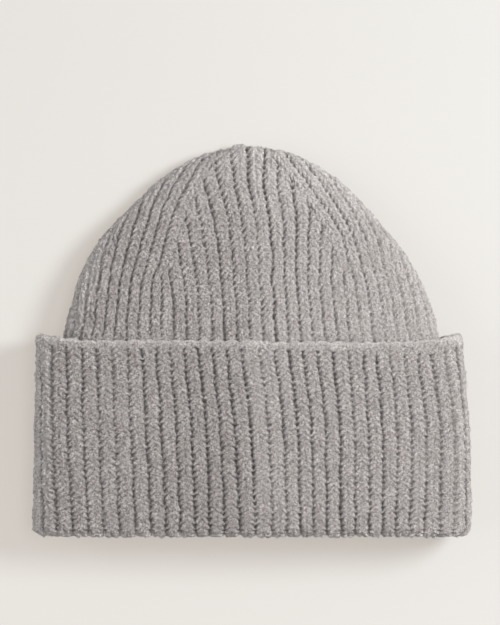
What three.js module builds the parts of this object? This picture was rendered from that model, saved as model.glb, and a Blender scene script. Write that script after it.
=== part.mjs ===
// A chunky rib-knit cap with a deep turned-up cuff, lying flat on its back.
//
// Millimetres, +Z up. The cap rests on z = 0 with its seam side up. The mouth faces -Y and the
// tip +Y, and +X is to the right of somebody who looks down on it with the tip away from them.
// The origin is the middle of the floor area under the cap.
//
// The cap is one knitted tube: the crown runs from the gathered tip down to the fold at the
// mouth, where the same fabric turns outwards and runs back up as the cuff. It is built as two
// closed walls, the crown and the cuff, whose surfaces lie at the tops of the ribs. The inside
// is hollow and open at the mouth.

import * as THREE from 'three';
import { mergeVertices } from 'three/addons/utils/BufferGeometryUtils.js';

// ---------------------------------------------------------------- driving dimensions

const LENGTH = 203; // from the fold at the mouth to the tip
const FOLD_Y = -LENGTH / 2; // end of the fold
const TIP_Y = LENGTH / 2; // end of the gathered tip
const WALL = 4.2; // thickness of the ribbed fabric
const PLY_GAP = 1.4; // air between the cuff and the crown under it
const FOLD_R = WALL + PLY_GAP / 2; // outer radius of the fold at the mouth
const FOLD_CORE_R = PLY_GAP / 2; // inner radius of the fold
const FOLD_AXIS_Y = FOLD_Y + FOLD_R; // where the fold's bend begins
const LIP_TOP_Y = -87.4; // end of the inner lip that carries the crown
const JOIN_GAP = 0.3; // gap between the lip and the crown's lower edge
const EDGE_R = WALL / 2; // rounding of the cuff's free edge
const SHOULDER = 0.15; // how much of the height is lost towards the side edges
const AROUND = 48; // points around the cap, a multiple of four
const CROWN_ROWS = 29; // rows along the crown

// Outer surface of the cuff, from its free edge to the fold. left and right are the reach on
// each side, top and under the heights at the middle, edge the height of the side edges, flat
// the part of the half width over which the underside is flat, and square how square the upper
// corners are.
const CUFF_SECTIONS = [
  { y: 6.0, left: -111.7, right: 109.6, top: 42.2, under: 0, edge: 20.0, flat: 0.7, square: 14 },
  { y: 0.5, left: -111.9, right: 109.8, top: 42.4, under: 0, edge: 20.0, flat: 0.7, square: 14 },
  { y: -22.9, left: -113.2, right: 111.9, top: 43.0, under: 0, edge: 20.4, flat: 0.7, square: 14 },
  { y: -41.1, left: -114.0, right: 113.2, top: 43.2, under: 0, edge: 20.6, flat: 0.7, square: 14 },
  { y: -61.9, left: -114.4, right: 114.3, top: 43.0, under: 0, edge: 20.6, flat: 0.7, square: 14 },
  { y: -82.7, left: -114.5, right: 114.5, top: 42.2, under: 0, edge: 20.2, flat: 0.7, square: 14 },
  { y: -101.5, left: -114.3, right: 114.5, top: 41.4, under: 0, edge: 20.0, flat: 0.7, square: 14 },
];

// The cuff's free edge: its place at the middle, and how much higher it stands at each side.
const FREE_EDGE = { middle: 1.3, leftRise: 2.6, rightRise: 3.4, sharpness: 4 };

// Outer surface of the crown, from the lip at the mouth to the tip. It fills the cuff, then
// narrows into a dome that sinks towards the tip and lies on the floor there.
const CROWN_SECTIONS = [
  { y: -88.0, left: -108.8, right: 108.9, top: 36.3, under: 5.6, edge: 20.2, flat: 0.72, square: 14 },
  { y: -60.0, left: -107.2, right: 106.9, top: 37.2, under: 5.6, edge: 20.4, flat: 0.7, square: 13 },
  { y: -30.0, left: -103.4, right: 102.2, top: 37.2, under: 5.6, edge: 20.2, flat: 0.68, square: 12 },
  { y: 3.1, left: -98.2, right: 96.3, top: 36.5, under: 5.4, edge: 19.0, flat: 0.62, square: 9 },
  { y: 16.0, left: -95.3, right: 93.3, top: 35.3, under: 3.4, edge: 17.2, flat: 0.6, square: 8 },
  { y: 31.7, left: -91.4, right: 87.4, top: 33.2, under: 0.4, edge: 15.0, flat: 0.58, square: 7.4 },
  { y: 47.3, left: -84.1, right: 78.7, top: 30.4, under: 0, edge: 13.2, flat: 0.56, square: 6.8 },
  { y: 62.9, left: -70.6, right: 65.9, top: 26.8, under: 0, edge: 11.8, flat: 0.54, square: 6.2 },
  { y: 73.3, left: -59.7, right: 56.8, top: 24.0, under: 0, edge: 10.8, flat: 0.52, square: 5.6 },
  { y: 83.7, left: -48.0, right: 45.4, top: 21.0, under: 0, edge: 9.8, flat: 0.46, square: 5 },
  { y: 92.0, left: -35.2, right: 33.2, top: 18.0, under: 0, edge: 8.8, flat: 0.3, square: 3.8 },
  { y: 98.3, left: -21.2, right: 19.4, top: 14.6, under: 1.3, edge: 8.0, flat: 0.1, square: 2.6 },
  { y: 100.5, left: -9.9, right: 8.8, top: 11.6, under: 4.2, edge: 7.6, flat: 0, square: 2 },
  { y: TIP_Y, left: -0.0, right: 0.0, top: 7.6, under: 7.6, edge: 7.6, flat: 0, square: 2 },
];

// ---------------------------------------------------------------- section curves

// Stations are blended along this measure instead of y, because a dome's reach falls evenly to
// nothing in it at the tip.
const along = (y) => Math.asin(Math.max(-1, Math.min(1, y / TIP_Y)));

// A smooth reading of one column of a section table, without overshoot between the rows.
function column(rows, name) {
  const list = [...rows].sort((a, b) => a.y - b.y);
  const t = list.map((row) => along(row.y));
  const v = list.map((row) => row[name]);
  const n = t.length;
  const step = [];
  for (let i = 0; i < n - 1; i++) step.push((v[i + 1] - v[i]) / (t[i + 1] - t[i]));
  const slope = [step[0]];
  for (let i = 1; i < n - 1; i++) {
    const a = step[i - 1];
    const b = step[i];
    const wa = 2 * (t[i + 1] - t[i]) + (t[i] - t[i - 1]);
    const wb = t[i + 1] - t[i] + 2 * (t[i] - t[i - 1]);
    slope.push(a * b <= 0 ? 0 : (wa + wb) / (wa / a + wb / b));
  }
  slope.push(step[n - 2]);
  return (y) => {
    const x = Math.max(t[0], Math.min(t[n - 1], along(y)));
    let i = 0;
    while (i < n - 2 && x > t[i + 1]) i++;
    const h = t[i + 1] - t[i];
    const s = (x - t[i]) / h;
    return (
      (2 * s ** 3 - 3 * s ** 2 + 1) * v[i] +
      (s ** 3 - 2 * s ** 2 + s) * h * slope[i] +
      (-2 * s ** 3 + 3 * s ** 2) * v[i + 1] +
      (s ** 3 - s ** 2) * h * slope[i + 1]
    );
  };
}

function reader(rows) {
  const names = ['left', 'right', 'top', 'under', 'edge', 'flat', 'square'];
  const read = Object.fromEntries(names.map((name) => [name, column(rows, name)]));
  return (y) => Object.fromEntries(names.map((name) => [name, read[name](y)]));
}

// Height of the upper and of the lower surface at the share s of the half width.
function upper(row, s) {
  return row.edge + (row.top - row.edge) * Math.sqrt(Math.max(0, 1 - s ** row.square)) * (1 - SHOULDER * s * s);
}

function lower(row, s) {
  const t = Math.max(0, (s - row.flat) / (1 - row.flat));
  return row.edge - (row.edge - row.under) * Math.sqrt(Math.max(0, 1 - t * t));
}

// One quarter of a section as evenly spaced points, from the middle to the side edge.
function quarter(row, reach, surface, count) {
  const fine = 240;
  const path = [];
  for (let i = 0; i <= fine; i++) {
    const s = Math.sin((i / fine) * (Math.PI / 2));
    path.push([reach * s, surface(row, s)]);
  }
  const run = [0];
  for (let i = 1; i <= fine; i++) {
    run.push(run[i - 1] + Math.hypot(path[i][0] - path[i - 1][0], path[i][1] - path[i - 1][1]));
  }
  const out = [];
  let k = 0;
  for (let i = 0; i <= count; i++) {
    const want = (run[fine] * i) / count;
    while (k < fine - 1 && run[k + 1] < want) k++;
    const f = run[k + 1] > run[k] ? (want - run[k]) / (run[k + 1] - run[k]) : 0;
    out.push([0, 1].map((c) => path[k][c] + (path[k + 1][c] - path[k][c]) * Math.min(1, Math.max(0, f))));
  }
  return out;
}

// A whole section as [x, z] pairs: from the top middle to the right edge, under the cap to the
// left edge, and back.
function section(row) {
  const q = AROUND / 4;
  const topRight = quarter(row, row.right, upper, q);
  const underRight = quarter(row, row.right, lower, q);
  const underLeft = quarter(row, row.left, lower, q);
  const topLeft = quarter(row, row.left, upper, q);
  return [
    ...topRight.slice(0, q),
    ...underRight.slice(1).reverse(),
    ...underLeft.slice(0, q),
    ...topLeft.slice(1).reverse(),
  ];
}

// Outward directions of a section in its own plane.
function outward(points) {
  const n = points.length;
  return points.map((_, i) => {
    const a = points[(i + n - 1) % n];
    const b = points[(i + 1) % n];
    const d = Math.hypot(b[0] - a[0], b[1] - a[1]) || 1;
    return [-(b[1] - a[1]) / d, (b[0] - a[0]) / d];
  });
}

// ---------------------------------------------------------------- walls

// A closed surface through rings of points. Rings are joined in order, and loop joins the last
// to the first.
function ringSurface(rings, loop, flip) {
  const position = [];
  const index = [];
  const n = rings[0].length;
  for (const ring of rings) for (const p of ring) position.push(...p);
  const count = loop ? rings.length : rings.length - 1;
  for (let r = 0; r < count; r++) {
    const s = (r + 1) % rings.length;
    for (let i = 0; i < n; i++) {
      const j = (i + 1) % n;
      const a = r * n + i;
      const b = r * n + j;
      const c = s * n + j;
      const d = s * n + i;
      if (flip) index.push(a, c, b, a, d, c);
      else index.push(a, b, c, a, c, d);
    }
  }
  return { position, index };
}

function solid(parts) {
  const position = [];
  const index = [];
  for (const part of parts) {
    const base = position.length / 3;
    for (const v of part.position) position.push(v);
    for (const i of part.index) index.push(i + base);
  }
  const geometry = new THREE.BufferGeometry();
  geometry.setAttribute('position', new THREE.Float32BufferAttribute(position, 3));
  geometry.setIndex(index);
  const merged = mergeVertices(geometry, 1e-4);
  const p = merged.getAttribute('position').array;
  const kept = [];
  const idx = merged.getIndex().array;
  for (let i = 0; i < idx.length; i += 3) {
    const [a, b, c] = [idx[i], idx[i + 1], idx[i + 2]];
    if (a !== b && b !== c && c !== a) kept.push(a, b, c);
  }
  const out = new THREE.BufferGeometry();
  out.setAttribute('position', new THREE.BufferAttribute(new Float32Array(p), 3));
  out.setIndex(kept);
  out.computeVertexNormals();
  return out;
}

// The crown: the outer surface from the lip to the tip, the inner surface one wall further in,
// and the flat rim that joins them at the lower end.
function crownGeometry() {
  const read = reader(CROWN_SECTIONS);
  const startY = LIP_TOP_Y + JOIN_GAP;
  const t0 = along(startY);
  const t1 = Math.PI / 2;
  const outer = [];
  for (let r = 0; r < CROWN_ROWS; r++) {
    const t = t0 + ((t1 - t0) * r) / (CROWN_ROWS - 0.35);
    const y = TIP_Y * Math.sin(t);
    outer.push(section(read(y)).map(([x, z]) => [x, y, z]));
  }
  const tip = [0, TIP_Y, read(TIP_Y).edge];

  // The inner surface follows the outer one at right angles, so the wall is even all round.
  const n = AROUND;
  const inner = outer.map((ring, r) =>
    ring.map((p, i) => {
      const before = outer[Math.max(0, r - 1)][i];
      const after = r + 1 < outer.length ? outer[r + 1][i] : tip;
      const left = ring[(i + n - 1) % n];
      const right = ring[(i + 1) % n];
      const alongRib = new THREE.Vector3(...after).sub(new THREE.Vector3(...before));
      const across = new THREE.Vector3(...right).sub(new THREE.Vector3(...left));
      const normal = new THREE.Vector3().crossVectors(across, alongRib).normalize();
      if (r === 0) normal.setY(0).normalize();
      return [p[0] - normal.x * WALL, p[1] - normal.y * WALL, p[2] - normal.z * WALL];
    })
  );
  const innerTip = [0, TIP_Y - WALL, tip[2]];

  const rings = [...outer, ring(tip)];
  const innerRings = [...inner, ring(innerTip)];
  const skin = ringSurface(rings, false, false);
  const lining = ringSurface(innerRings, false, true);
  const rim = ringSurface([outer[0], inner[0]], false, true);
  return solid([skin, lining, rim]);

  function ring(point) {
    return Array.from({ length: n }, () => point);
  }
}

// The cuff: one closed profile carried round the cap. inset is the depth below the cuff's outer
// surface, and lift says that the point moves with the free edge.
function cuffGeometry() {
  const read = reader(CUFF_SECTIONS);
  const profile = [];
  const arc = (cy, cd, radius, from, to, steps) => {
    for (let i = 0; i <= steps; i++) {
      const a = from + ((to - from) * i) / steps;
      profile.push({ y: cy + radius * Math.cos(a), inset: cd - radius * Math.sin(a), lift: cy > -20 ? 1 : 0 });
    }
  };
  const straight = (inset, ys) => {
    for (const y of ys) profile.push({ y, inset, lift: Math.max(0, (y + 45) / 45) });
  };
  const edgeY = FREE_EDGE.middle - EDGE_R;
  // free edge, over its rounding from the inside to the outside
  arc(edgeY, EDGE_R, EDGE_R, -Math.PI / 2, Math.PI / 2, 5);
  // outer face down to the fold
  straight(0, [-14, -30, -46, -62, -76, -88]);
  // round the fold
  arc(FOLD_AXIS_Y, FOLD_R, FOLD_R, Math.PI / 2, (Math.PI * 3) / 2, 8);
  // up the inner lip, over its flat end and down again
  profile.push({ y: LIP_TOP_Y, inset: 2 * FOLD_R, lift: 0 });
  profile.push({ y: LIP_TOP_Y, inset: WALL + PLY_GAP, lift: 0 });
  // round the core of the fold
  arc(FOLD_AXIS_Y, FOLD_R, FOLD_CORE_R, (Math.PI * 3) / 2, Math.PI / 2, 3);
  // inner face up to the free edge
  straight(WALL, [-84, -64, -44, -24]);

  const rings = profile.map(({ y, inset, lift }) => {
    const points = section(read(Math.max(FOLD_Y, y)));
    const normals = outward(points);
    return points.map(([x, z], i) => {
      const side = x < 0 ? FREE_EDGE.leftRise : FREE_EDGE.rightRise;
      const share = Math.min(1, Math.abs(x) / 112);
      const rise = lift * side * share ** FREE_EDGE.sharpness;
      return [x - normals[i][0] * inset, y + rise, z - normals[i][1] * inset];
    });
  });
  return solid([ringSurface(rings, true, true)]);
}

// ---------------------------------------------------------------- the cap

const wool = (color) =>
  new THREE.MeshStandardMaterial({ color, roughness: 0.95, metalness: 0 });

const crown = new THREE.Mesh(crownGeometry(), wool(0xa7a19d));
crown.name = 'crown';

const cuff = new THREE.Mesh(cuffGeometry(), wool(0xaaa5a1));
cuff.name = 'cuff';

const cap = new THREE.Group();
cap.name = 'cuffed_cap';
cap.add(crown, cuff);

export default cap;
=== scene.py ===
"""A chunky rib-knit cap with a deep turned-up cuff, lying flat on its back.

The walls of the solid model are knitted here: every rib, groove and V stitch is a real shape in
the mesh, laid out from a few named sizes and two short charts of where the ribs run. Lengths are
millimetres until the meshes are made, then metres.
"""
import math

import bpy
import numpy as np
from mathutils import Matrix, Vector


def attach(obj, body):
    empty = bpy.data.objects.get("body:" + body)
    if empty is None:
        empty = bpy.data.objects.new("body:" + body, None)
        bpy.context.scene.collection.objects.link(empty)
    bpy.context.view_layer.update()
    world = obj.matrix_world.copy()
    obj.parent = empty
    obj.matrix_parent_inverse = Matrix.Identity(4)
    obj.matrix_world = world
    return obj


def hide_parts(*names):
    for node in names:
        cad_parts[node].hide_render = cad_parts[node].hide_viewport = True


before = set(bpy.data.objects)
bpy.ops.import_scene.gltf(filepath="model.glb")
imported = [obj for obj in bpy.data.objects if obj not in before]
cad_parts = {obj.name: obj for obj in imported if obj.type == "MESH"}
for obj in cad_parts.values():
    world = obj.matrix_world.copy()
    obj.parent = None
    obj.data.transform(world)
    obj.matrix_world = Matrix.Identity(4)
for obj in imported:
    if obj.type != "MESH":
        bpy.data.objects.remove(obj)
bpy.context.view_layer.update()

# ------------------------------------------------------------------ sizes, as in the solid model
# (the left edge is drawn in by up to 1.8 mm, where only loose fibres reach the solid's outline, and
# the crown's right edge out by up to 1.2 mm beside the cuff)

LENGTH = 203.0
FOLD_Y, TIP_Y = -LENGTH / 2, LENGTH / 2
WALL = 4.2
PLY_GAP = 1.4
FOLD_R = WALL + PLY_GAP / 2
CORE_R = PLY_GAP / 2
FOLD_AXIS_Y = FOLD_Y + FOLD_R
LIP_TOP_Y = -87.4
EDGE_R = WALL / 2
SHOULDER = 0.15
FREE_EDGE_Y, LEFT_RISE, RIGHT_RISE = 1.3, 2.6, 3.4

#                y      left    right   top   under edge  flat  square
CUFF_SECTIONS = [
    (6.0, -111.5, 109.6, 42.2, 0.0, 20.0, 0.70, 14.0),
    (0.5, -111.6, 109.8, 42.4, 0.0, 20.0, 0.70, 14.0),
    (-22.9, -112.3, 111.9, 43.0, 0.0, 20.4, 0.70, 14.0),
    (-41.1, -112.6, 113.2, 43.2, 0.0, 20.6, 0.70, 14.0),
    (-61.9, -112.9, 114.3, 43.0, 0.0, 20.6, 0.70, 14.0),
    (-82.7, -113.4, 114.5, 42.2, 0.0, 20.2, 0.70, 14.0),
    (-101.5, -113.4, 114.5, 41.4, 0.0, 20.0, 0.70, 14.0),
]
CROWN_SECTIONS = [
    (-88.0, -108.8, 108.9, 36.3, 5.6, 20.2, 0.72, 14.0),
    (-60.0, -107.2, 106.9, 37.2, 5.6, 20.4, 0.70, 13.0),
    (-30.0, -103.4, 102.2, 37.2, 5.6, 20.2, 0.68, 12.0),
    (3.1, -97.4, 97.5, 36.5, 5.4, 19.0, 0.62, 9.0),
    (16.0, -94.2, 94.4, 35.3, 3.4, 17.2, 0.60, 8.0),
    (31.7, -89.7, 87.9, 33.2, 0.4, 15.0, 0.58, 7.4),
    (47.3, -82.3, 78.7, 30.4, 0.0, 13.2, 0.56, 6.8),
    (62.9, -69.6, 65.9, 26.8, 0.0, 11.8, 0.54, 6.2),
    (73.3, -58.7, 56.8, 24.0, 0.0, 10.8, 0.52, 5.6),
    (83.7, -48.0, 45.4, 21.0, 0.0, 9.8, 0.46, 5.0),
    (92.0, -35.2, 33.2, 18.0, 0.0, 8.8, 0.30, 3.8),
    (98.3, -21.2, 19.4, 14.6, 1.3, 8.0, 0.10, 2.6),
    (100.5, -9.9, 8.8, 11.6, 4.2, 7.6, 0.00, 2.0),
    (TIP_Y, 0.0, 0.0, 7.6, 7.6, 7.6, 0.00, 2.0),
]

# ------------------------------------------------------------------ how the knitting runs

RIBS = 66             # ribs round the cap
CUFF_ROW = 3.05       # height of one stitch in the cuff
CROWN_ROW = 3.35      # and in the crown
RIB_DEPTH = 2.6       # depth of the groove between two ribs
CROWN_DEPTH = 1.00    # the crown's grooves, against the cuff's
GROOVE_FLOOR = 2.0    # how far a groove's floor lies inside the face of the solid model
FUZZ = 0.45           # how far the brushed fibres stand above the solid model's face
RIB_ROUND = 2.7       # how round a rib is: 2 is a circle, more is flatter on top
STRAND = 1.00         # how far each yarn strand stands proud of the crease beside it

# Where the cuff's grooves run. Ribs are counted from the seam, and the three columns are their
# place across the cap near the free edge, half way down and at the fold.
#             rib    top    middle   fold
CUFF_CHART = [
    (-14, -109.2, -108.8, -110.6),
    (-13, -103.7, -103.0, -100.8),
    (-12, -95.8, -94.9, -92.2),
    (-10, -80.0, -78.6, -76.4),
    (-7, -56.5, -54.0, -51.7),
    (-4, -34.4, -30.4, -28.8),
    (0, -4.8, 0.5, 2.6),
    (1, 4.4, 9.5, 11.2),
    (5, 34.6, 39.0, 39.8),
    (8, 58.3, 61.2, 61.7),
    (11, 79.4, 83.7, 82.6),
    (14, 100.4, 105.8, 105.6),
    (15, 106.3, 111.6, 111.8),
]
CUFF_LEVELS = (-4.7, -51.5, -98.3)

# How far the cuff's free edge sags below its line at places across the cap.
#           x     sag
EDGE_SAG = [
    (-110.0, 1.0),
    (-84.0, 1.7),
    (-63.0, 1.3),
    (-42.0, 0.8),
    (-21.0, 0.8),
    (2.0, 1.1),
    (14.0, 2.0),
    (31.0, 1.7),
    (52.0, 2.2),
    (94.0, 2.4),
    (110.0, 1.0),
]
CUFF_EDGE_RIBS = (-15.8, 16.4)     # rib count at the left and the right side edge

# Where the crown's ribs run: the seam, the two lines where ribs are taken in, ten ribs left and
# seven right of the seam, and the rib widths between and outside them.
#              y     seam  left_w right_w left_line right_line left_out right_out
CROWN_CHART = [
    (3.1, 13.2, 6.56, 6.25, -52.4, 57.0, 6.3, 6.3),
    (21.3, 11.9, 6.53, 6.18, -52.3, 55.3, 5.8, 6.0),
    (31.7, 11.0, 6.63, 6.20, -51.1, 53.6, 5.7, 5.8),
    (42.1, 11.0, 6.84, 6.20, -47.8, 50.5, 6.1, 5.9),
    (52.5, 10.5, 7.00, 6.40, -45.0, 47.7, 6.1, 6.2),
    (62.9, 9.5, 7.20, 6.90, -41.5, 42.4, 6.3, 6.5),
    (73.3, 7.7, 7.35, 7.25, -37.9, 35.4, 6.4, 6.9),
    (83.7, 6.5, 7.80, 7.30, -32.4, 28.6, 6.5, 7.1),
    (94.1, 6.8, 8.45, 6.90, -26.4, 19.8, 6.2, 7.4),
    (100.4, 6.9, 8.60, 6.80, -22.7, 15.7, 6.2, 7.0),
]
LEFT_LINE_RIB, RIGHT_LINE_RIB = -10, 7
CROWN_EDGE_RIBS = (-18.5, 14.5)

BLEND_Y = 3.1     # the crown's chart starts here, under the cuff's free edge

CAMERA_HEIGHT = 1700.0
OUTLINE_HEIGHT = 20.0


def drawn_in(top):
    """The charts give places as seen at the outline's height. Nearer the camera they draw in."""
    return (CAMERA_HEIGHT - top) / (CAMERA_HEIGHT - OUTLINE_HEIGHT)


# ------------------------------------------------------------------ curves and noise

def along(y):
    return np.arcsin(np.clip(np.asarray(y, float) / TIP_Y, -1, 1))


def slopes(t, v):
    """Slopes for a smooth curve through rows that doesn't overshoot."""
    step = np.diff(v) / np.diff(t)
    out = np.empty(len(v))
    out[0], out[-1] = step[0], step[-1]
    for i in range(1, len(v) - 1):
        a, b = step[i - 1], step[i]
        if a * b <= 0:
            out[i] = 0.0
        else:
            wa = 2 * (t[i + 1] - t[i]) + (t[i] - t[i - 1])
            wb = t[i + 1] - t[i] + 2 * (t[i] - t[i - 1])
            out[i] = (wa + wb) / (wa / a + wb / b)
    return out


def smooth(x, t, v, m=None):
    """A smooth reading at x of the values v at t, straight on past both ends."""
    t, v = np.asarray(t, float), np.asarray(v, float)
    m = slopes(t, v) if m is None else m
    x = np.asarray(x, float)
    i = np.clip(np.searchsorted(t, x) - 1, 0, len(t) - 2)
    h = t[i + 1] - t[i]
    s = (x - t[i]) / h
    inside = (
        (2 * s**3 - 3 * s**2 + 1) * v[i]
        + (s**3 - 2 * s**2 + s) * h * m[i]
        + (-2 * s**3 + 3 * s**2) * v[i + 1]
        + (s**3 - s**2) * h * m[i + 1]
    )
    low = v[0] + (x - t[0]) * m[0]
    high = v[-1] + (x - t[-1]) * m[-1]
    return np.where(x < t[0], low, np.where(x > t[-1], high, inside))


def painted_rim_light(n, weight, lean):
    """How much painted light goes where the cap turns away over a fold or an edge, by the
    direction of its smooth face: more of it on the side away from the key light, by lean."""
    h = np.hypot(n[:, 0], n[:, 1])
    return ramp(h, 0.32, 0.88) * ramp(n[:, 2], -0.5, 0.1) * (weight - lean * n[:, 0] / np.maximum(h, 0.2))


def ramp(x, a, b):
    s = np.clip((x - a) / (b - a), 0, 1)
    return s * s * (3 - 2 * s)


def scatter(*keys, seed=0):
    """A repeatable number from 0 to 1 for each set of whole-number keys."""
    h = np.full(np.broadcast(*keys).shape, seed * 7919 + 101, np.uint64)
    for k, prime in zip(keys, (374761393, 668265263, 2246822519)):
        k = (np.asarray(k).astype(np.int64) & 0xFFFFFFFF).astype(np.uint64)
        h = (h ^ (k * np.uint64(prime))) & np.uint64(0xFFFFFFFF)
        h = (h ^ (h >> np.uint64(15))) * np.uint64(2246822519) & np.uint64(0xFFFFFFFF)
        h = h ^ (h >> np.uint64(13))
    h = h * np.uint64(3266489917) & np.uint64(0xFFFFFFFF)
    h = h ^ (h >> np.uint64(16))
    return h.astype(float) / 4294967295.0


def noise(p, cell, seed=0):
    """Smooth noise from -1 to 1 at the points p, (n, 3), with features about one cell wide."""
    q = p / cell
    base = np.floor(q)
    f = q - base
    f = f * f * (3 - 2 * f)
    base = base.astype(np.int64)
    out = np.zeros(len(p))
    for dx in (0, 1):
        wx = f[:, 0] if dx else 1 - f[:, 0]
        for dy in (0, 1):
            wy = f[:, 1] if dy else 1 - f[:, 1]
            for dz in (0, 1):
                wz = f[:, 2] if dz else 1 - f[:, 2]
                out += wx * wy * wz * scatter(base[:, 0] + dx, base[:, 1] + dy, base[:, 2] + dz, seed=seed)
    return 2 * out - 1


# ------------------------------------------------------------------ sections of the cap

class Sections:
    names = ("left", "right", "top", "under", "edge", "flat", "square")

    def __init__(self, rows):
        rows = np.array(sorted(rows), float)
        self.t = along(rows[:, 0])
        self.v = {n: rows[:, i + 1] for i, n in enumerate(self.names)}
        self.m = {n: slopes(self.t, v) for n, v in self.v.items()}

    def read(self, y):
        t = np.clip(along(y), self.t[0], self.t[-1])
        return {n: smooth(t, self.t, self.v[n], self.m[n]) for n in self.names}


class Loop:
    """The closed outline of a section: points by the distance c round it, 0 at the top middle,
    positive to the right. right and left are the distances to the side edges."""

    fine = 260

    def __init__(self, row):
        s = np.sin(np.linspace(0, math.pi / 2, self.fine + 1))
        rise = np.sqrt(np.maximum(0, 1 - s ** row["square"])) * (1 - SHOULDER * s * s)
        upper = row["edge"] + (row["top"] - row["edge"]) * rise
        t = np.maximum(0, (s - row["flat"]) / (1 - row["flat"]))
        lower = row["edge"] - (row["edge"] - row["under"]) * np.sqrt(np.maximum(0, 1 - t * t))
        q = self.fine
        x = np.concatenate([row["right"] * s, row["right"] * s[:-1][::-1], row["left"] * s[1:], row["left"] * s[:-1][::-1]])
        z = np.concatenate([upper, lower[:-1][::-1], lower[1:], upper[:-1][::-1]])
        run = np.concatenate([[0], np.cumsum(np.hypot(np.diff(x), np.diff(z)))])
        self.run, self.x, self.z = run, x, z
        self.total = run[-1]
        self.right = run[q]
        self.left = run[-1] - run[3 * q]
        dx, dz = np.gradient(x), np.gradient(z)
        dx[0] = dx[-1] = 1.0
        dz[0] = dz[-1] = 0.0
        length = np.maximum(np.hypot(dx, dz), 1e-9)
        self.nx, self.nz = -dz / length, dx / length
        self.front_x = np.concatenate([x[3 * q:], x[1:q + 1]])
        self.front_c = np.concatenate([run[3 * q:] - run[-1], run[1:q + 1]])
        # where the camera sees the floor of a groove that lies under each point of the front
        nx = np.concatenate([self.nx[3 * q:], self.nx[1:q + 1]])
        nz = np.concatenate([self.nz[3 * q:], self.nz[1:q + 1]])
        front_z = np.concatenate([z[3 * q:], z[1:q + 1]])
        seen = (self.front_x - GROOVE_FLOOR * nx) / drawn_in(front_z - GROOVE_FLOOR * nz)
        self.seen = np.maximum.accumulate(seen) + np.linspace(0, 1e-6, len(seen))

    def at(self, c):
        c = np.mod(c, self.total)
        return [np.interp(c, self.run, v) for v in (self.x, self.z, self.nx, self.nz)]

    def c_of_seen(self, x):
        """The distance round the front at which a groove is seen at x."""
        return np.interp(x, self.seen, self.front_c)

    def c_of_x(self, x):
        """The distance round the front at which x is reached, straight on past the side edges."""
        c = np.interp(x, self.front_x, self.front_c)
        c = np.where(x > self.front_x[-1], self.right + (x - self.front_x[-1]), c)
        return np.where(x < self.front_x[0], -self.left + (x - self.front_x[0]), c)


cuff_sections, crown_sections = Sections(CUFF_SECTIONS), Sections(CROWN_SECTIONS)


def cuff_loop(y):
    row = cuff_sections.read(np.array(max(y, FOLD_Y)))
    return Loop({k: float(v) for k, v in row.items()})


def crown_loop(y):
    row = crown_sections.read(np.array(y))
    return Loop({k: float(v) for k, v in row.items()})


def cuff_places(y, loop, ribs):
    """Distance round the cuff at which each rib count lies."""
    chart = np.array(CUFF_CHART, float)
    yy = float(np.clip(y, CUFF_LEVELS[2] - 3, CUFF_LEVELS[0] + 6))
    order = np.argsort(CUFF_LEVELS)
    levels = np.array(CUFF_LEVELS)[order]
    seen = np.array([smooth(yy, levels, row[1:][order]) for row in chart])
    c = loop.c_of_seen(seen - 0.28)
    # over the side edges a rib is no wider than elsewhere
    for i, j in ((2, 1), (1, 0), (-3, -2), (-2, -1)):
        most = 8.6 * abs(chart[i, 0] - chart[j, 0])
        c[j] = c[i] + np.clip(c[j] - c[i], -most, most)
    count = np.concatenate([[CUFF_EDGE_RIBS[0]], chart[:, 0], [CUFF_EDGE_RIBS[1]]])
    place = np.concatenate([[-loop.left], c, [loop.right]])
    # the back, evenly spaced, on both sides of the front
    count = np.concatenate([[CUFF_EDGE_RIBS[1] - RIBS], count, [CUFF_EDGE_RIBS[0] + RIBS]])
    place = np.concatenate([[loop.right - loop.total], place, [loop.total - loop.left]])
    turn = np.floor((ribs - count[0]) / RIBS)
    return smooth(ribs - turn * RIBS, count, place) + turn * loop.total


def crown_lines(y):
    chart = np.array(CROWN_CHART, float)
    y = np.clip(y, chart[0, 0], 101.4)
    return {n: smooth(y, chart[:, 0], chart[:, i + 1]) for i, n in enumerate(
        ("seam", "left_w", "right_w", "left_line", "right_line", "left_out", "right_out"))}


# ------------------------------------------------------------------ the knitted surface

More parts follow.
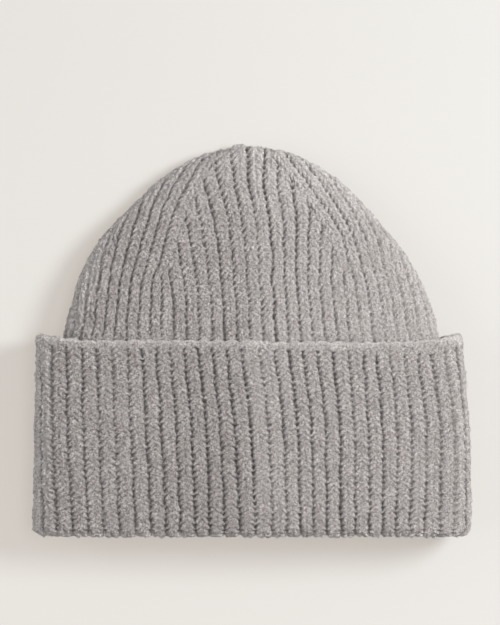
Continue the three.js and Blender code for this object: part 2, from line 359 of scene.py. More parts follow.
def stitches(rib, row, up, groove, stitch, p, seed=0, twist=0.0):
    """Depth below the rib tops, in mm, of a ribbed fabric.

    rib counts ribs, a whole number in each groove, and row counts rows. up is 1 where the V
    stitches open towards rising rows and -1 where they open the other way. groove and stitch
    scale the grooves and the strands, and where twist is 1 the strands cross the whole rib on the
    slant. Also gives how deep in a crease the point is and how far between two strands, for
    painted shade there, and the strand's own measures, for the colours of the fibres."""
    rib = rib + 0.045 * noise(p, 11.0, seed + 1) + 0.060 * noise(p, 3.4, seed + 2) + 0.045 * noise(p, 1.7, seed + 11)
    index = np.floor(rib)
    # no two grooves are quite alike
    beside = np.floor(rib + 0.5)
    groove = groove * (1 + 0.26 * noise(p, 21.0, seed + 12) + 0.34 * (scatter(beside, beside * 0, seed=seed + 13) - 0.5))
    u = 2 * (rib - index) - 1
    a = np.abs(u)
    side = (u > 0).astype(int)
    # each half rib has its own strand every row, a little uneven
    drift = 0.20 * (scatter(index, side, seed=seed + 3) - 0.5) + 0.16 * noise(p, 6.0, seed + 4)
    w = row + up * 1.05 * a * (1 - twist) - 1.15 * u * twist + drift
    k = np.floor(w)
    q = w - k - 0.5
    own = scatter(index * 2 + side, k, seed=seed + 5)
    width = 0.54 + 0.06 * (own - 0.5)
    arch = np.sqrt(np.maximum(0, 1 - (q / width) ** 2))
    strand = (arch - 1) * STRAND * 1.5 * (1 + 1.5 * twist) + up * 0.34 * q + 0.40 * (own - 0.5)
    # the rib's round back, wider where a strand bulges into the groove
    au = np.clip(a * (1.02 - (0.06 + 0.17 * own) * np.cos(2 * math.pi * q) * stitch + 0.10 * noise(p, 2.4, seed + 10)), 0, 1)
    dome = -(1 - (1 - au ** RIB_ROUND) ** 0.74)
    middle = np.exp(-((u / 0.17) ** 2)) * (1.05 + 0.60 * np.cos(2 * math.pi * (row + drift + 0.35)))
    depth = RIB_DEPTH * groove * dome + stitch * (strand - 0.60 * middle * (1 - twist))
    depth += stitch * (0.60 * noise(p, 1.6, seed + 6) + 0.45 * noise(p, 0.95, seed + 7))
    depth += 0.34 * noise(p, 14.0, seed + 8) + 0.20 * noise(p, 5.0, seed + 9)
    # painted shade masks: how deep down a groove, and how far between two strands
    crease = np.clip(-dome * groove, 0, 1)
    gap = np.clip((0.80 - arch) / 0.35, 0, 1) * stitch
    return depth, crease, gap, index * 2 + side, w, a


def ridge(rib):
    """The bulk of the seam lifts the fabric beside it a little, more steeply on the left."""
    return np.where(rib < 0, 2.3 * np.exp(-np.abs(rib) / 2.6) - 0.5, 1.8 * np.exp(-np.abs(rib) / 2.0))


# ------------------------------------------------------------------ meshes

def zip_up(a, b, pa, pb):
    """Triangles between two rows of points that run the same way."""
    def share(p):
        d = np.concatenate([[0], np.cumsum(np.linalg.norm(np.diff(p, axis=0), axis=1))])
        return d / max(d[-1], 1e-9)
    sa, sb = share(pa), share(pb)
    i = j = 0
    faces = []
    while i < len(a) - 1 or j < len(b) - 1:
        if j == len(b) - 1 or (i < len(a) - 1 and sa[i + 1] <= sb[j + 1]):
            faces.append((a[i], a[i + 1], b[j]))
            i += 1
        else:
            faces.append((a[i], b[j + 1], b[j]))
            j += 1
    return faces


def grid_faces(ids, close_rows=False):
    a = ids[:-1, :-1].ravel()
    b = ids[:-1, 1:].ravel()
    c = ids[1:, 1:].ravel()
    d = ids[1:, :-1].ravel()
    faces = np.stack([a, b, c, d], 1)
    if close_rows:
        last, first = ids[-1], ids[0]
        faces = np.vstack([faces, np.stack([last[:-1], last[1:], first[1:], first[:-1]], 1)])
    return faces


def make_object(name, points, quads, tris, walls, values, material):
    """A mesh from points in mm, with its faces turned outwards, and float values per point.
    walls are the last triangles, where two pieces meet: flat, so that they don't bend the
    shading of the faces beside them."""
    mesh = bpy.data.meshes.new(name)
    tris = np.array(list(tris) + list(walls), int).reshape(-1, 3)
    mesh.vertices.add(len(points))
    mesh.vertices.foreach_set("co", (points * 0.001).astype(np.float32).ravel())
    loops = np.concatenate([quads.ravel(), tris.ravel()]).astype(np.int32)
    mesh.loops.add(len(loops))
    mesh.loops.foreach_set("vertex_index", loops)
    starts = np.concatenate([np.arange(len(quads)) * 4, len(quads) * 4 + np.arange(len(tris)) * 3]).astype(np.int32)
    mesh.polygons.add(len(starts))
    mesh.polygons.foreach_set("loop_start", starts)
    mesh.polygons.foreach_set("use_smooth", np.arange(len(starts)) < len(starts) - len(walls))
    mesh.update(calc_edges=True)
    mesh.validate()
    for key, value in values.items():
        value = np.asarray(value, np.float32)
        if value.ndim == 2:
            layer = mesh.attributes.new(key, "FLOAT_VECTOR", "POINT")
            layer.data.foreach_set("vector", value.ravel())
        else:
            layer = mesh.attributes.new(key, "FLOAT", "POINT")
            layer.data.foreach_set("value", value.ravel())
    mesh.materials.append(material)
    obj = bpy.data.objects.new(name, mesh)
    bpy.context.scene.collection.objects.link(obj)
    return obj


RIB_STEPS = np.array([0, 0.05, 0.115, 0.2, 0.3, 0.405, 0.5, 0.595, 0.7, 0.8, 0.885, 0.95])


def cuff_piece(name, first, last, material):
    """The cuff from one groove to another: free edge, outer face, fold, lip and inner faces."""
    steps = []   # y, inset, outward part along y and along the section's normal, run, kind
    edge_y = FREE_EDGE_Y - EDGE_R
    for a in np.linspace(-math.pi / 2, math.pi / 2, 11):
        steps.append((edge_y + EDGE_R * math.cos(a), EDGE_R - EDGE_R * math.sin(a), math.cos(a), math.sin(a), EDGE_R * a, 0))
    run = EDGE_R * math.pi / 2
    rows = 178
    for i in range(1, rows):
        y = edge_y + (FOLD_AXIS_Y - edge_y) * i / rows
        steps.append((y, 0.0, 0.0, 1.0, run + edge_y - y, 0))
    run += edge_y - FOLD_AXIS_Y
    for a in np.linspace(math.pi / 2, 1.5 * math.pi, 26):
        steps.append((FOLD_AXIS_Y + FOLD_R * math.cos(a), FOLD_R - FOLD_R * math.sin(a), math.cos(a), math.sin(a), run + FOLD_R * (a - math.pi / 2), 0))
    run += FOLD_R * math.pi
    for y in np.linspace(FOLD_AXIS_Y, LIP_TOP_Y, 9)[1:]:
        steps.append((y, 2 * FOLD_R, 0.0, -1.0, run + y - FOLD_AXIS_Y, 0))
    outer_count = len(steps)
    for y in np.linspace(LIP_TOP_Y, FOLD_AXIS_Y, 4)[:-1]:
        steps.append((y, WALL + PLY_GAP, 0.0, 1.0, 0.0, 1))
    for a in np.linspace(1.5 * math.pi, math.pi / 2, 4):
        steps.append((FOLD_AXIS_Y + CORE_R * math.cos(a), FOLD_R - CORE_R * math.sin(a), -math.cos(a), -math.sin(a), 0.0, 1))
    for y in np.concatenate([np.linspace(FOLD_AXIS_Y, -36, 5)[1:], np.linspace(-33, -16, 9), np.linspace(-15.4, edge_y, 26)[:-1]]):
        steps.append((y, WALL, 0.0, -1.0, edge_y - y + EDGE_R * math.pi / 2, 2))
    steps = np.array(steps)

    ribs = np.concatenate([np.arange(first, last)[:, None] + RIB_STEPS]).ravel()
    ribs = np.append(ribs, last)
    nr, nc = len(steps), len(ribs)
    P = np.zeros((nr, nc, 3))
    N = np.zeros((nr, nc, 3))
    for r, (y, inset, ny, nout, s, kind) in enumerate(steps):
        loop = cuff_loop(y)
        x, z, nx, nz = loop.at(cuff_places(y, loop, ribs))
        lift = min(1.0, max(0.0, (y + 45) / 45))
        rise = lift * np.where(x < 0, LEFT_RISE, RIGHT_RISE) * np.minimum(1, np.abs(x) / 112) ** 4
        sag = np.interp(x, *np.array(EDGE_SAG).T) * float(ramp(y, -35, 0))
        P[r] = np.stack([x - nx * inset, y + rise - sag, z - nz * inset], 1)
        N[r] = np.stack([nx * nout, np.full(nc, ny), nz * nout], 1)
    p = P.reshape(-1, 3)
    n = N.reshape(-1, 3)
    kind = np.repeat(steps[:, 5], nc)
    s = np.repeat(steps[:, 4], nc)
    rib = np.tile(ribs, nr)
    # the free edge is a plain roll: grooves and stitches start a little below it
    near_edge = np.abs(s)
    far = ramp(p[:, 0], 20, 90)
    groove = 0.10 + 0.90 * ramp(near_edge, 3.7 + 1.3 * far, 7.2 + 1.6 * far)
    stitch = 0.25 + 0.75 * ramp(near_edge, 2.2, 5.5)
    # the fold opens the grooves
    groove = groove * (1 + 0.15 * ramp(s, 88, 100) - 0.50 * ramp(s, 102, 107) * (1 - ramp(s, 108, 113)))
    seam = np.exp(-((rib / 0.15) ** 2)) * (1 - ramp(s, 60, 100) * 0.8)
    seam_side = np.exp(-(((rib - 0.75) / 0.3) ** 2)) * (1 - ramp(s, 30, 90))
    groove = groove * (1 + 0.20 * ramp(rib, -5, -2) * (1 - ramp(rib, -0.2, 0.3)) + 0.30 * ramp(np.abs(n[:, 0]), 0.30, 0.75))
    depth, crease, gap, strand, w, a = stitches(rib, s / CUFF_ROW, -1, groove * (1 + 0.25 * seam), stitch, p, seed=20)
    # painted shade: darker to the left of the seam, more so towards the fold
    gap = gap + (0.13 + 0.12 * ramp(-p[:, 1], 40, 75)) * ramp(rib, -8, -3) * (1 - ramp(rib, -0.3, 0.3))
    # painted shade: the grooves over the side edges, seen from the side, are darkened more
    steep = ramp(np.abs(n[:, 0]), 0.45, 0.85)
    crease = crease * (1 + 1.3 * steep) + 1.0 * steep * groove * ramp(a, 0.66, 0.92)
    depth = depth - 0.5 * seam + 0.25 * seam_side + ridge(rib) * ramp(s, 1, 9) * (1 - ramp(s, 84, 101))
    # inner faces: the ribs' other side, flatter, down into the pocket behind the cuff
    inner, pocket = kind > 0, kind == 2
    low = ramp(near_edge, 2.5, 6.0) * (1 - ramp(s, 16, 40))
    depth_in, crease_in, gap_in, _, _, _ = stitches(rib + 0.5, s / CUFF_ROW, 1, 0.5 * low, 0.55 * low * (1 - ramp(s, 13, 17)), p, seed=70)
    depth = np.where(inner, np.where(pocket, np.clip(depth_in, -1.8, 0) * low, 0.0), depth)
    # a small scallop along the free edge, one lobe to a rib
    lobe = 0.35 * np.cos(2 * math.pi * (rib - 0.5)) * np.exp(-((s / 3.0) ** 2)) * (kind == 0)
    p2 = p + n * np.where(inner, depth, np.maximum(depth, -3.9) + FUZZ * (1 - 1.7 * ramp(s, 98, 104)))[:, None]
    p2[:, 1] += lobe
    p2[:, 2] = np.maximum(p2[:, 2], 0.0)

    ids = np.arange(nr * nc).reshape(nr, nc)
    quads = grid_faces(ids, close_rows=True)[:, ::-1]
    walls = []
    outer_rows = np.arange(outer_count)
    inner_rows = np.concatenate([[0], np.arange(nr - 1, outer_count - 1, -1)])
    for col, flip in ((0, False), (nc - 1, True)):
        a_ids, b_ids = ids[outer_rows, col], ids[inner_rows, col]
        part = zip_up(a_ids[0:], b_ids, p2[a_ids], p2[b_ids])
        part = [t for t in part if len(set(t)) == 3]
        walls += [t[::-1] if flip else t for t in part]
    # crease and gap carry painted shade in the grooves, between the strands and a little on the inner faces; the last
    # value is painted light where the cap turns away over its side edges and fold, along the free edge, over the right
    # half and beside the seam, and it also sets the sheen
    values = {
        "crease": np.where(pocket, crease_in, np.where(inner, 0.35, crease)),
        "gap": np.where(pocket, gap_in, np.where(inner, 0.2, gap)),
        "fibre": np.stack([strand, w, a], 1),
        "painted_light_and_sheen": np.where(inner, 0.0, painted_rim_light(n, 0.52, 0.42) + 0.20 * ramp(-n[:, 1], 0.35, 0.85) * ramp(n[:, 2], -0.5, 0.1)
                          + 0.10 * (1 - ramp(np.abs(s - 1.5), 2.0, 5.0)) + 0.08 * ramp(p[:, 0], -4, 3)
                          + 0.07 * np.exp(-(((p[:, 0] - 6) / 9) ** 2)) * ramp(p[:, 1], -75, -25)),
    }
    return make_object(name, p2, quads, [], walls, values, material)


def crown_piece(name, front, material):
    """Half of the crown, its front or its back: outer face, tip and inner face."""
    nc = 361
    v = np.linspace(-1, 1, nc)
    t0, t1 = float(along(-6.0)), math.pi / 2
    # even steps over the surface rather than in the angle
    fine = TIP_Y * np.sin(np.linspace(t0, t1, 1200))
    rows = crown_sections.read(fine)
    path = np.concatenate([[0], np.cumsum(np.hypot(np.diff(fine), 0.75 * np.diff(rows["right"])))])
    shown = np.interp(np.linspace(0, path[-1], 204)[:-1], path, fine)
    hidden = np.linspace(LIP_TOP_Y, -6.0, 15)[:-1]
    inner_y = np.concatenate([np.linspace(LIP_TOP_Y, -60, 14), np.linspace(-60, 60, 15)[1:], [70, 78, 85, 90, 94.5, 97.5, 99.6]])
    ys = np.concatenate([hidden, shown])

    line = crown_lines(np.linspace(BLEND_Y, 101, 400))
    fine_y = np.linspace(BLEND_Y, 101, 400)

    def lean(values):
        return np.gradient(values, fine_y)

    left_tan, right_tan = lean(line["left_line"]), lean(line["right_line"])
    left_run = np.concatenate([[0], np.cumsum(np.sqrt(1 + ((left_tan[1:] + left_tan[:-1]) / 2) ** 2) * np.diff(fine_y))])
    right_run = np.concatenate([[0], np.cumsum(np.sqrt(1 + ((right_tan[1:] + right_tan[:-1]) / 2) ** 2) * np.diff(fine_y))])

    base_loop = crown_loop(BLEND_Y)

    def counts(y, loop, c):
        """Rib counts at the distances c on the front, from the chart."""
        scale = drawn_in(float(crown_sections.read(y)["top"]) - 1.0)
        L = {k: float(x) * scale for k, x in crown_lines(y).items()}
        left_x = L["left_line"] - L["left_out"] * np.arange(0, 14)
        right_x = L["right_line"] + L["right_out"] * np.arange(0, 14)
        centre_k = np.arange(-9, 7)
        centre_x = L["seam"] + np.where(centre_k < 0, L["left_w"], L["right_w"]) * centre_k
        # the first groove beside the left line runs straight up until it meets it
        centre_x[0] = max(centre_x[0], min(-46.5 * scale, centre_x[1] - 0.5 * L["left_w"]))
        out = {}
        lc, rc, cc = loop.c_of_x(left_x), loop.c_of_x(right_x), loop.c_of_x(centre_x)
        # a rib is no wider over the side edges than it looks from above
        for i in range(1, 14):
            lc[i] = max(lc[i], lc[i - 1] - 1.10 * L["left_out"])
            rc[i] = min(rc[i], rc[i - 1] + 1.10 * L["right_out"])
        out["left"] = LEFT_LINE_RIB - np.interp(-c, -lc, np.arange(14))
        out["right"] = RIGHT_LINE_RIB + np.interp(c, rc, np.arange(14))
        k = centre_k.astype(float)
        out["centre"] = np.interp(c, cc, k)
        w_l = (cc[1] - cc[0])
        w_r = (cc[-1] - cc[-2])
        out["centre"] = np.where(c < cc[0], k[0] + (c - cc[0]) / w_l, out["centre"])
        out["centre"] = np.where(c > cc[-1], k[-1] + (c - cc[-1]) / w_r, out["centre"])
        out["lines"] = (float(lc[0]), float(rc[0]))
        out["beside"] = (float(cc[0] - lc[0]), float(rc[0] - cc[-1]))
        out["x"] = (L, centre_k, centre_x)
        return out

    base = counts(BLEND_Y, base_loop, v * np.where(v > 0, base_loop.right, base_loop.left))
    base_rib = np.where(v * np.where(v > 0, base_loop.right, base_loop.left) < base["lines"][0], base["left"],
                        np.where(v * np.where(v > 0, base_loop.right, base_loop.left) > base["lines"][1], base["right"], base["centre"]))
    # the side edges carry a fixed count, so that front and back meet
    base_shift = smooth(base_rib, [base_rib[0], -13, 10, base_rib[-1]], [CROWN_EDGE_RIBS[0], -13, 10, CROWN_EDGE_RIBS[1]]) - base_rib
    base_rib = base_rib + base_shift
    full_rib = base_rib if front else 2 * CROWN_EDGE_RIBS[1] - base_rib

    def surface(y):
        """Points, outward directions in the section, and distances round the front, for one row."""
        loop = crown_loop(y)
        c = v * np.where(v > 0, loop.right, loop.left)
        if front:
            place = c
        else:   # the same share of the way, on the underside
            right_len = loop_bottom(loop) - loop.right
            left_len = loop.total - loop.left - loop_bottom(loop)
            place = np.where(v > 0, loop_bottom(loop) - v * right_len, loop_bottom(loop) - v * left_len)
        x, z, nx, nz = loop.at(place)
        if y < BLEND_Y:
            w = float(ramp(-y, 15, 84))
            outer = cuff_loop(y)
            x2, z2, nx2, nz2 = outer.at(cuff_places(y, outer, full_rib + 0.5))
            inset = WALL + PLY_GAP
            x2, z2 = x2 - nx2 * inset, z2 - nz2 * inset
            x, z = x + (x2 - x) * w, z + (z2 - z) * w
            nx, nz = nx + (nx2 - nx) * w, nz + (nz2 - nz) * w
            ln = np.hypot(nx, nz)
            nx, nz = nx / ln, nz / ln
        return loop, c, np.stack([x, np.full(nc, float(y)), z], 1), np.stack([nx, np.zeros(nc), nz], 1)

    def loop_bottom(loop):
        return float(loop.run[2 * loop.fine])

    def base_grid(ys):
        loops, cs, P, N = [], [], [], []
        for y in ys:
            loop, c, p, n = surface(float(y))
            loops.append(loop)
            cs.append(c)
            P.append(p)
            N.append(n)
        P, N = np.array(P), np.array(N)
        # lean the directions along the cap
        tip = np.array([0.0, TIP_Y, 7.6])
        ahead = np.concatenate([P[1:], np.broadcast_to(tip, (1, nc, 3))])
        behind = np.concatenate([P[:1], P[:-1]])
        d = ahead - behind
        d /= np.linalg.norm(d, axis=2, keepdims=True)
        keep = np.array(ys) > -80
        N2 = N - d * (N * d).sum(2, keepdims=True)
        N2 /= np.linalg.norm(N2, axis=2, keepdims=True)
        N = np.where(keep[:, None, None], N2, N)
        return loops, cs, P, N

    def knit(ys, loops, cs, P, N, inner):
        ribs, rows_n, groove_rows = [], [], []
        for i, y in enumerate(ys):
            y = float(y)
            c = cs[i]
            if y < BLEND_Y:
                rib = base_rib
                row = np.full(nc, (y - BLEND_Y) / CROWN_ROW)
                groove = np.full(nc, 0.9)
            else:
                k = counts(y, loops[i], c)
                L, centre_k, centre_x = k["x"]
                lc, rc = k["lines"]
                x = P[i][:, 0]
                left, right = c < lc, c > rc
                rib_c = k["centre"]
                # the rib beside each line follows it, and the others end in it
                from_left, from_right = c - lc, rc - c
                wl, wr = L["left_w"], L["right_w"]
                open_left, open_right = [gap > 3.4 for gap in k["beside"]]
                if open_left:
                    wl = min(wl, k["beside"][0])
                if open_right:
                    wr = min(wr, k["beside"][1])
                spine_left = (from_left >= 0) & (from_left < wl * 0.98)
                spine_right = (from_right >= 0) & (from_right < wr * 0.98)
                rib = np.where(left, k["left"], np.where(right, k["right"], rib_c))
                both = spine_left & spine_right
                rib = np.where(spine_left & ~both, LEFT_LINE_RIB + from_left / wl, rib)
                rib = np.where(spine_right & ~both, RIGHT_LINE_RIB - from_right / wr, rib)
                rib = rib + base_shift * (1 - ramp(y, BLEND_Y, 30))
                near = np.clip(np.round(rib_c), -9, 6).astype(int)
                gx = centre_x[near + 9]
                dl, dr = gx - L["left_line"], L["right_line"] - gx
                present = np.where(near == -9, ramp(dl, 3.0, 4.6), ramp(dl, 4.6, 7.2))
                present = present * np.where(near == 6, ramp(dr, 3.0, 4.6), ramp(dr, 4.6, 7.2))
                # the groove at the inner side of the guiding rib is only hinted at
                hint = 0.22 + 0.78 * (1 - ramp(y, BLEND_Y, BLEND_Y + 10))
                present = np.where(left | right, 1.0, present)
                inside = ~(left | right)
                at_line = np.minimum(np.abs(from_left), np.abs(from_right)) < 0.5 * wl
                present = np.where(inside & (spine_left | spine_right), np.where(at_line, 1.0, np.maximum(
                    hint, present * np.where((spine_left & open_left) | (spine_right & open_right), 1.0, 0.6))), present)
                run_l = np.interp(y, fine_y, left_run) + (x - L["left_line"]) * math.sin(math.atan(np.interp(y, fine_y, left_tan)))
                run_r = np.interp(y, fine_y, right_run) + (x - L["right_line"]) * math.sin(math.atan(np.interp(y, fine_y, right_tan)))
                row = np.where(left | spine_left, run_l, np.where(right | spine_right, run_r, y - BLEND_Y)) / CROWN_ROW
                groove = present
                # a smooth rib runs along each side edge, and the others end in it
                edge_gap = np.minimum(loops[i].right - c, c + loops[i].left)
                edge_gap = np.maximum(edge_gap, 0)
                soft = ramp(edge_gap, 1.5, 5.5)
                groove = groove * (1 - (1 - soft) * ramp(y, 12, 30))
            ribs.append(rib)
            rows_n.append(row)
            groove_rows.append(groove)
        rib = np.concatenate(ribs)
        row = np.concatenate(rows_n)
        groove = np.concatenate(groove_rows)
        y_all = P[:, :, 1].ravel()
        p = P.reshape(-1, 3)
        seam = np.exp(-((rib / 0.19) ** 2)) if front else np.zeros(len(rib))
        beside = np.exp(-(((rib + 1) / 0.20) ** 2)) * ramp(y_all, 66, 84)
        if inner:
            shade_rib = (rib if front else 2 * CROWN_EDGE_RIBS[1] - rib) + 0.5
            depth, crease, gap, strand, w, a = stitches(shade_rib, row, -1, 0.62 * groove, np.full(len(rib), 0.35), p, seed=60)
        else:
            twist = ramp(y_all, 9, 13) * (1 - ramp(y_all, 21, 25)) * (np.floor(rib) == -1) if front else 0.0
            depth, crease, gap, strand, w, a = stitches(
                rib, row, 1, CROWN_DEPTH * groove * (1 + 0.40 * seam + 0.55 * beside - 0.27 * ramp(rib, 1, 4) - 0.14 * ramp(-rib, 10, 13)), np.full(len(rib), 0.85),
                p, seed=40 if front else 50, twist=twist)
            # painted shade: the grooves over the side edges are darkened more
            steep = ramp(np.abs(N[:, :, 0].ravel()), 0.45, 0.85)
            crease = crease * (1 + 0.8 * steep) + 0.7 * steep * groove * ramp(a, 0.66, 0.92)
            depth = depth - 0.35 * seam - 0.6 * beside
            if front:
                depth = depth + ridge(rib) * ramp(y_all, -60, 0) * (1 - ramp(y_all, 70, 96))
            depth = depth + 1.6 * np.exp(-(((rib + 1.5) / 0.55) ** 2)) * ramp(y_all, 95, 100.5)
            # painted shade along the seam and the groove beside it near the tip
            crease = crease + 0.25 * seam + 0.45 * beside
        return depth, crease, gap, np.stack([strand, w, a], 1)

    loops, cs, P, N = base_grid(ys)
    depth, crease, gap, fibre = knit(ys, loops, cs, P, N, False)
    outer = P.reshape(-1, 3) + N.reshape(-1, 3) * (np.maximum(depth, -3.6) + FUZZ)[:, None]
    nr = len(ys)

    loops_i, cs_i, Pi, Ni = base_grid(inner_y)
    depth_i, crease_i, gap_i, fibre_i = knit(inner_y, loops_i, cs_i, Pi, Ni, True)
    # near the tip the wall thins, so that the inner face stays clear of itself
    wall = np.repeat(WALL - 0.6 * ramp(inner_y, 85, 99), nc)
    inner = Pi.reshape(-1, 3) - Ni.reshape(-1, 3) * (wall - np.minimum(0, np.maximum(depth_i, -1.8)) * -1.0)[:, None]
    ni = len(inner_y)

    tip_out = np.array([[0.0, TIP_Y - 0.6, 7.6]])
    tip_in = np.array([[0.0, TIP_Y - WALL, 7.6]])
    points = np.vstack([outer, inner, tip_out, tip_in])
    points[:, 2] = np.maximum(points[:, 2], 0.0)
    ids = np.arange(nr * nc).reshape(nr, nc)
    ids_in = nr * nc + np.arange(ni * nc).reshape(ni, nc)
    tip_o, tip_i = len(points) - 2, len(points) - 1
    q_out = grid_faces(ids)
    q_in = grid_faces(ids_in)[:, ::-1]
    rim = np.stack([ids[0, :-1], ids_in[0, :-1], ids_in[0, 1:], ids[0, 1:]], 1)
    tris = []
    for j in range(nc - 1):
        tris.append((ids[-1, j], ids[-1, j + 1], tip_o))
        tris.append((ids_in[-1, j + 1], ids_in[-1, j], tip_i))
    a_ids = np.concatenate([ids[:, -1], [tip_o], ids[::-1, 0]])
    b_ids = np.concatenate([ids_in[:, -1], [tip_i], ids_in[::-1, 0]])
    walls = zip_up(a_ids, b_ids, points[a_ids], points[b_ids])
    quads = np.vstack([q_out, q_in, rim])
    if not front:
        quads = quads[:, ::-1]
        tris, walls = [t[::-1] for t in tris], [t[::-1] for t in walls]
    # painted light: lighter towards the gathered end and over the right half, where more of the light falls, and a
    # little darker just left of the seam
    painted_highlight = painted_rim_light(N.reshape(-1, 3), 0.34, 0.32) + 0.33 * ramp(P[:, :, 1].ravel(), 50, 96)
    across = P[:, :, 0].ravel()
    painted_highlight = painted_highlight + 0.17 * ramp(across, -5, 3) + 0.06 * ramp(across, 10, 50)
    painted_highlight = painted_highlight + 0.01 * np.exp(-(((across - 5) / 9) ** 2)) - 0.10 * np.exp(-(((across + 14) / 9) ** 2))
    # and painted light down the left slope above the cuff, which faces away from the key light
    slope = ramp(-N.reshape(-1, 3)[:, 0], 0.20, 0.70) * ramp(N.reshape(-1, 3)[:, 2], -0.4, 0.1)
    painted_highlight = painted_highlight + 0.40 * slope * ramp(P[:, :, 1].ravel(), 0, 40)
    # crease and gap carry painted shade in the grooves and between the strands; the last value is the painted light
    # worked out above
    values = {
        "crease": np.concatenate([crease, crease_i, [0, 0]]),
        "gap": np.concatenate([gap, gap_i, [0, 0]]),
        "fibre": np.vstack([fibre, fibre_i, [[0, 0, 0], [0, 0, 0]]]),
        "painted_light_and_sheen": np.concatenate([painted_highlight, np.zeros(ni * nc), [0.2, 0]]),
    }
    return make_object(name, points, quads, tris, walls, values, material)


# ------------------------------------------------------------------ materials

def wool_material():
    m = bpy.data.materials.new("wool_knit")
    m.use_nodes = True
    nt = m.node_tree
    nt.nodes.clear()
    new, link = nt.nodes.new, nt.links.new

    out = new("ShaderNodeOutputMaterial")
    bsdf = new("ShaderNodeBsdfPrincipled")
    bsdf.inputs["Roughness"].default_value = 0.92
    bsdf.inputs["Specular IOR Level"].default_value = 0.25
    bsdf.inputs["Sheen Roughness"].default_value = 0.28
    bsdf.inputs["Sheen Tint"].default_value = (1.0, 0.97, 0.945, 1)
    link(bsdf.outputs[0], out.inputs[0])

    place = new("ShaderNodeTexCoord")

    def tex(scale, detail=2.0, rough=0.6, distortion=0.0, vector=None):
        n = new("ShaderNodeTexNoise")
        n.inputs["Scale"].default_value = scale
        n.inputs["Detail"].default_value = detail
        n.inputs["Roughness"].default_value = rough
        n.inputs["Distortion"].default_value = distortion
        link(vector if vector is not None else place.outputs["Object"], n.inputs["Vector"])
        return n.outputs["Fac"]

    def mix(factor, a, b, blend="MIX"):
        n = new("ShaderNodeMix")
        n.data_type = "RGBA"
        n.blend_type = blend
        if isinstance(factor, (int, float)):
            n.inputs["Factor"].default_value = factor
        else:
            link(factor, n.inputs["Factor"])
        for value, key in ((a, "A"), (b, "B")):
            socket = next(s for s in n.inputs if s.name == key and s.type == "RGBA")
            if isinstance(value, tuple):
                socket.default_value = value
            else:
                link(value, socket)
        return next(s for s in n.outputs if s.type == "RGBA")

    def remap(value, lo, hi, to_lo=0.0, to_hi=1.0):
        n = new("ShaderNodeMapRange")
        n.clamp = True
        for key, x in (("From Min", lo), ("From Max", hi), ("To Min", to_lo), ("To Max", to_hi)):
            n.inputs[key].default_value = x
        link(value, n.inputs["Value"])
        return n.outputs["Result"]

    def math_node(op, a, b):
        n = new("ShaderNodeMath")
        n.operation = op
        for i, x in enumerate((a, b)):
            if isinstance(x, (int, float)):
                n.inputs[i].default_value = x
            else:
                link(x, n.inputs[i])
        return n.outputs[0]

    def attribute(name):
        n = new("ShaderNodeAttribute")
        n.attribute_name = name
        return n

    # streaks of fibres along each strand: strand number, place across it and place along it
    fibre = attribute("fibre").outputs["Vector"]
    split = new("ShaderNodeSeparateXYZ")
    link(fibre, split.inputs[0])
    join = new("ShaderNodeCombineXYZ")
    link(math_node("MULTIPLY", split.outputs[0], 7.31), join.inputs[0])
    link(math_node("MULTIPLY", split.outputs[1], 7.0), join.inputs[1])
    link(math_node("MULTIPLY", split.outputs[2], 2.6), join.inputs[2])
    streak = tex(1.0, 2.0, 0.6, 0.9, join.outputs[0])

    # heathered fibres: light and dark warm greys, and a few pink and green ones
    light = (0.985, 0.930, 0.912, 1)
    mid = (0.512, 0.466, 0.453, 1)
    dark = (0.112, 0.087, 0.085, 1)
    rose = (0.520, 0.415, 0.405, 1)
    moss = (0.470, 0.470, 0.425, 1)

    # thin wiggly fibres: the places where a noise crosses its middle value
    def hairs(scale, thick, distortion):
        n = tex(scale, 1.0, 0.5, distortion)
        off = math_node("ABSOLUTE", math_node("SUBTRACT", n, 0.5), 0.0)
        return remap(off, thick * 0.4, thick, 1.0, 0.0)

    light_hairs, dark_hairs = hairs(640, 0.055, 1.2), hairs(560, 0.050, 1.5)
    colour = mix(remap(tex(1000, 1.0, 0.6, 0.5), 0.43, 0.55), dark, light)
    colour = mix(0.29, colour, mid)
    colour = mix(remap(streak, 0.40, 0.60, 0.0, 0.40), colour, mix(remap(tex(800, 1.0, 0.6), 0.43, 0.55), dark, light))
    colour = mix(math_node("MULTIPLY", dark_hairs, 0.65), colour, dark)
    colour = mix(math_node("MULTIPLY", light_hairs, 0.80), colour, light)
    colour = mix(remap(tex(330, 2.0, 0.6), 0.52, 0.68, 0.0, 0.40), colour, rose)
    colour = mix(remap(tex(290, 2.0, 0.6, 0.5), 0.54, 0.70, 0.0, 0.30), colour, moss)
    # the blend is uneven over a few stitches
    colour = mix(remap(tex(150, 2.0, 0.5), 0.36, 0.64, 0.0, 0.24), colour, (0.285, 0.252, 0.243, 1))
    # painted shade down in the grooves and between the strands
    crease = attribute("crease").outputs["Fac"]
    gap = attribute("gap").outputs["Fac"]
    colour = mix(remap(crease, 0.30, 2.2, 0.0, 0.80), colour, (0.12, 0.10, 0.096, 1))
    colour = mix(remap(gap, 0.0, 1.0, 0.0, 0.52), colour, (0.14, 0.12, 0.115, 1))
    # painted light: a lighter colour where the painted light mask says, over the folds and edges that turn away from
    # the light, and more sheen there
    painted_highlight = mix(remap(tex(900, 1.0, 0.6, 0.5), 0.43, 0.55), (0.460, 0.420, 0.408, 1), (1.0, 0.960, 0.945, 1))
    painted_light_and_sheen = attribute("painted_light_and_sheen").outputs["Fac"]
    colour = mix(remap(painted_light_and_sheen, 0.0, 0.95, 0.0, 0.95), colour, painted_highlight)
    # more painted shade in the deepest grooves over the side edges, laid over the painted light
    colour = mix(remap(crease, 1.1, 2.2, 0.0, 0.75), colour, (0.12, 0.10, 0.096, 1))
    link(remap(painted_light_and_sheen, 0.0, 1.0, 0.40, 1.0), bsdf.inputs["Sheen Weight"])
    link(colour, bsdf.inputs["Base Color"])

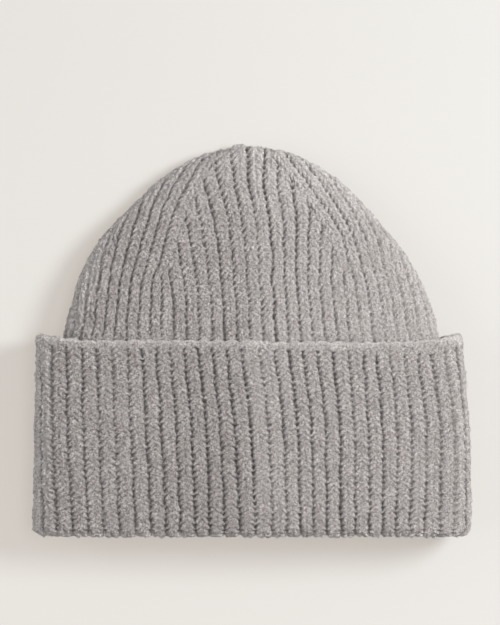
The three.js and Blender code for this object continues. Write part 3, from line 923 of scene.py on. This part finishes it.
    # loose fibres standing up from the yarn
    height = math_node("ADD", math_node("MULTIPLY", tex(2200, 2.0, 0.7), 0.6), math_node("MULTIPLY", tex(1100, 2.0, 0.6), 1.1))
    height = math_node("ADD", height, math_node("MULTIPLY", light_hairs, 0.35))
    bump = new("ShaderNodeBump")
    bump.inputs["Strength"].default_value = 1.0
    bump.inputs["Distance"].default_value = 0.0021
    link(height, bump.inputs["Height"])
    link(bump.outputs[0], bsdf.inputs["Normal"])
    return m


def floor_material():
    m = bpy.data.materials.new("studio_floor")
    m.use_nodes = True
    nt = m.node_tree
    bsdf = nt.nodes["Principled BSDF"]
    bsdf.inputs["Base Color"].default_value = (0.282, 0.297, 0.302, 1)
    bsdf.inputs["Roughness"].default_value = 0.9
    bsdf.inputs["Specular IOR Level"].default_value = 0.0
    # a softly lit table top, so that shadows stay light, a little brighter away from the key light
    bsdf.inputs["Emission Color"].default_value = (1.0, 0.885, 0.780, 1)
    place = nt.nodes.new("ShaderNodeTexCoord")
    split = nt.nodes.new("ShaderNodeSeparateXYZ")
    glow = nt.nodes.new("ShaderNodeMapRange")
    for key, x in (("From Min", -0.14), ("From Max", 0.14), ("To Min", 0.408 * 1.05), ("To Max", 0.408 * 0.955)):
        glow.inputs[key].default_value = x
    back = nt.nodes.new("ShaderNodeMapRange")
    for key, x in (("From Min", -0.14), ("From Max", 0.16), ("To Min", 1.035), ("To Max", 0.935)):
        back.inputs[key].default_value = x
    both = nt.nodes.new("ShaderNodeMath")
    both.operation = "MULTIPLY"
    nt.links.new(place.outputs["Object"], split.inputs[0])
    nt.links.new(split.outputs[0], glow.inputs["Value"])
    nt.links.new(split.outputs[1], back.inputs["Value"])
    nt.links.new(glow.outputs["Result"], both.inputs[0])
    nt.links.new(back.outputs["Result"], both.inputs[1])
    nt.links.new(both.outputs[0], bsdf.inputs["Emission Strength"])
    return m


# ------------------------------------------------------------------ camera, light and floor

def camera_and_light():
    scene = bpy.context.scene
    scene.view_settings.view_transform = "Standard"
    cam = bpy.data.cameras.new("camera")
    cam.sensor_fit = "AUTO"
    cam.sensor_width = 36.0
    height = CAMERA_HEIGHT / 1000
    seen = 0.52 * 625 / 1000          # the frame's height at the plane of the cap's outline
    cam.lens = 36.0 * (height - OUTLINE_HEIGHT / 1000) / seen
    cam.clip_start, cam.clip_end = 0.05, 20
    obj = bpy.data.objects.new("camera", cam)
    obj.location = (-0.0004, 0.0148, height)
    obj.rotation_euler = (0, 0, 0)
    scene.collection.objects.link(obj)
    scene.camera = obj

    def sun(name, direction, strength, angle, colour):
        light = bpy.data.lights.new(name, "SUN")
        light.energy = strength
        light.angle = math.radians(angle)
        light.color = colour
        o = bpy.data.objects.new(name, light)
        o.rotation_mode = "QUATERNION"
        o.rotation_quaternion = Vector(direction).to_track_quat("Z", "Y")
        scene.collection.objects.link(o)

    # the key light is near enough for its side of the cap to be a little brighter
    disk = bpy.data.lights.new("key_light", "AREA")
    disk.shape = "DISK"
    disk.size = 0.36
    disk.energy = 10.7
    disk.color = (1.0, 0.995, 0.985)
    key = bpy.data.objects.new("key_light", disk)
    key.location = (0.63, 0.23, 0.74)
    key.rotation_mode = "QUATERNION"
    key.rotation_quaternion = Vector(key.location).to_track_quat("Z", "Y")
    scene.collection.objects.link(key)
    sun("top_light", (0.20, 0.05, 1.0), 0.86, 26, (1.0, 1.0, 1.0))
    sun("left_light", (-1.0, 0.10, 0.50), 1.08, 50, (1.0, 1.0, 1.0))
    world = bpy.data.worlds.new("studio")
    world.use_nodes = True
    background = world.node_tree.nodes["Background"]
    background.inputs["Color"].default_value = (1.0, 0.985, 0.965, 1)
    background.inputs["Strength"].default_value = 0.37
    scene.world = world

    size = 1.6
    mesh = bpy.data.meshes.new("floor")
    mesh.from_pydata([(-size, -size, -0.0003), (size, -size, -0.0003), (size, size, -0.0003), (-size, size, -0.0003)], [], [(0, 1, 2, 3)])
    mesh.materials.append(floor_material())
    floor = bpy.data.objects.new("floor", mesh)
    scene.collection.objects.link(floor)


camera_and_light()
wool = wool_material()

made = [
    (cuff_piece("cuff_left", -24, 0, wool), "cuff"),
    (cuff_piece("cuff_right", 0, 24, wool), "cuff"),
    (cuff_piece("cuff_back", 24, RIBS - 24, wool), "cuff"),
    (crown_piece("crown_front", True, wool), "crown"),
    (crown_piece("crown_back", False, wool), "crown"),
]
for piece, node in made:
    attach(piece, "root")
    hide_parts(node)
    print(piece.name, "triangles", sum(len(q.vertices) - 2 for q in piece.data.polygons))
